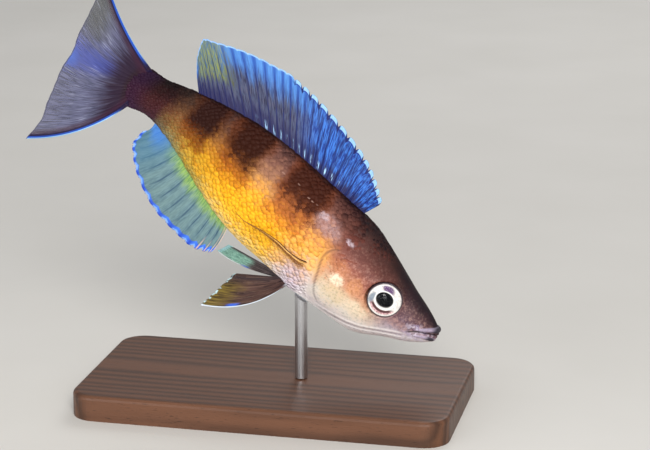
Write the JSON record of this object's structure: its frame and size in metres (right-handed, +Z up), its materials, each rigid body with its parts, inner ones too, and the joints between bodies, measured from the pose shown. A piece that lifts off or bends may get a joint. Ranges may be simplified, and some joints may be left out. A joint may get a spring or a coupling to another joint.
{
  "type": "cyprichromis zonatus",
  "caption": "Life-size still model of a male Cyprichromis zonatus, an aquarium cichlid, swimming nose-down with its fins spread, on a plain display stand.",
  "frame": {"origin": "centre of the underside of the stand's board", "axes": "+Z up; the fish faces +X and down; +Y to the fish's left"},
  "size_m": [0.1, 0.046, 0.1018],
  "materials": {
    "head_skin": "wet brown-maroon fish skin",
    "jaw_skin": "wet grey-lilac fish skin",
    "gill_cover_skin": "silvery yellow fish skin",
    "eye_lens": "clear wet eye, silver iris round a black pupil",
    "trunk_skin": "small orange-yellow scales with dark bars",
    "tail_stem_skin": "small maroon-brown scales",
    "dorsal_membrane": "blue fin membrane with pale spots",
    "anal_membrane": "grey-blue fin membrane",
    "tail_membrane": "lavender fin membrane, maroon at its root",
    "pelvic_membrane": "brown and olive-gold fin membrane with a white edge",
    "pectoral_membrane": "clear fin membrane",
    "stand_wood": "dark satin hardwood",
    "stand_steel": "satin steel"
  },
  "bodies": {
    "root": {"head": "head_skin", "lower_jaw": "jaw_skin", "gill_cover_right": "gill_cover_skin", "gill_cover_left": "gill_cover_skin", "eye_right": "eye_lens", "eye_left": "eye_lens", "trunk": "trunk_skin", "tail_stem": "tail_stem_skin", "dorsal_fin": "dorsal_membrane", "anal_fin": "anal_membrane", "tail_fin": "tail_membrane", "pelvic_fin_right": "pelvic_membrane", "pelvic_fin_left": "pelvic_membrane", "pectoral_fin_right": "pectoral_membrane", "pectoral_fin_left": "pectoral_membrane", "stand_base": "stand_wood", "stand_rod": "stand_steel"}
  },
  "joints": []
}
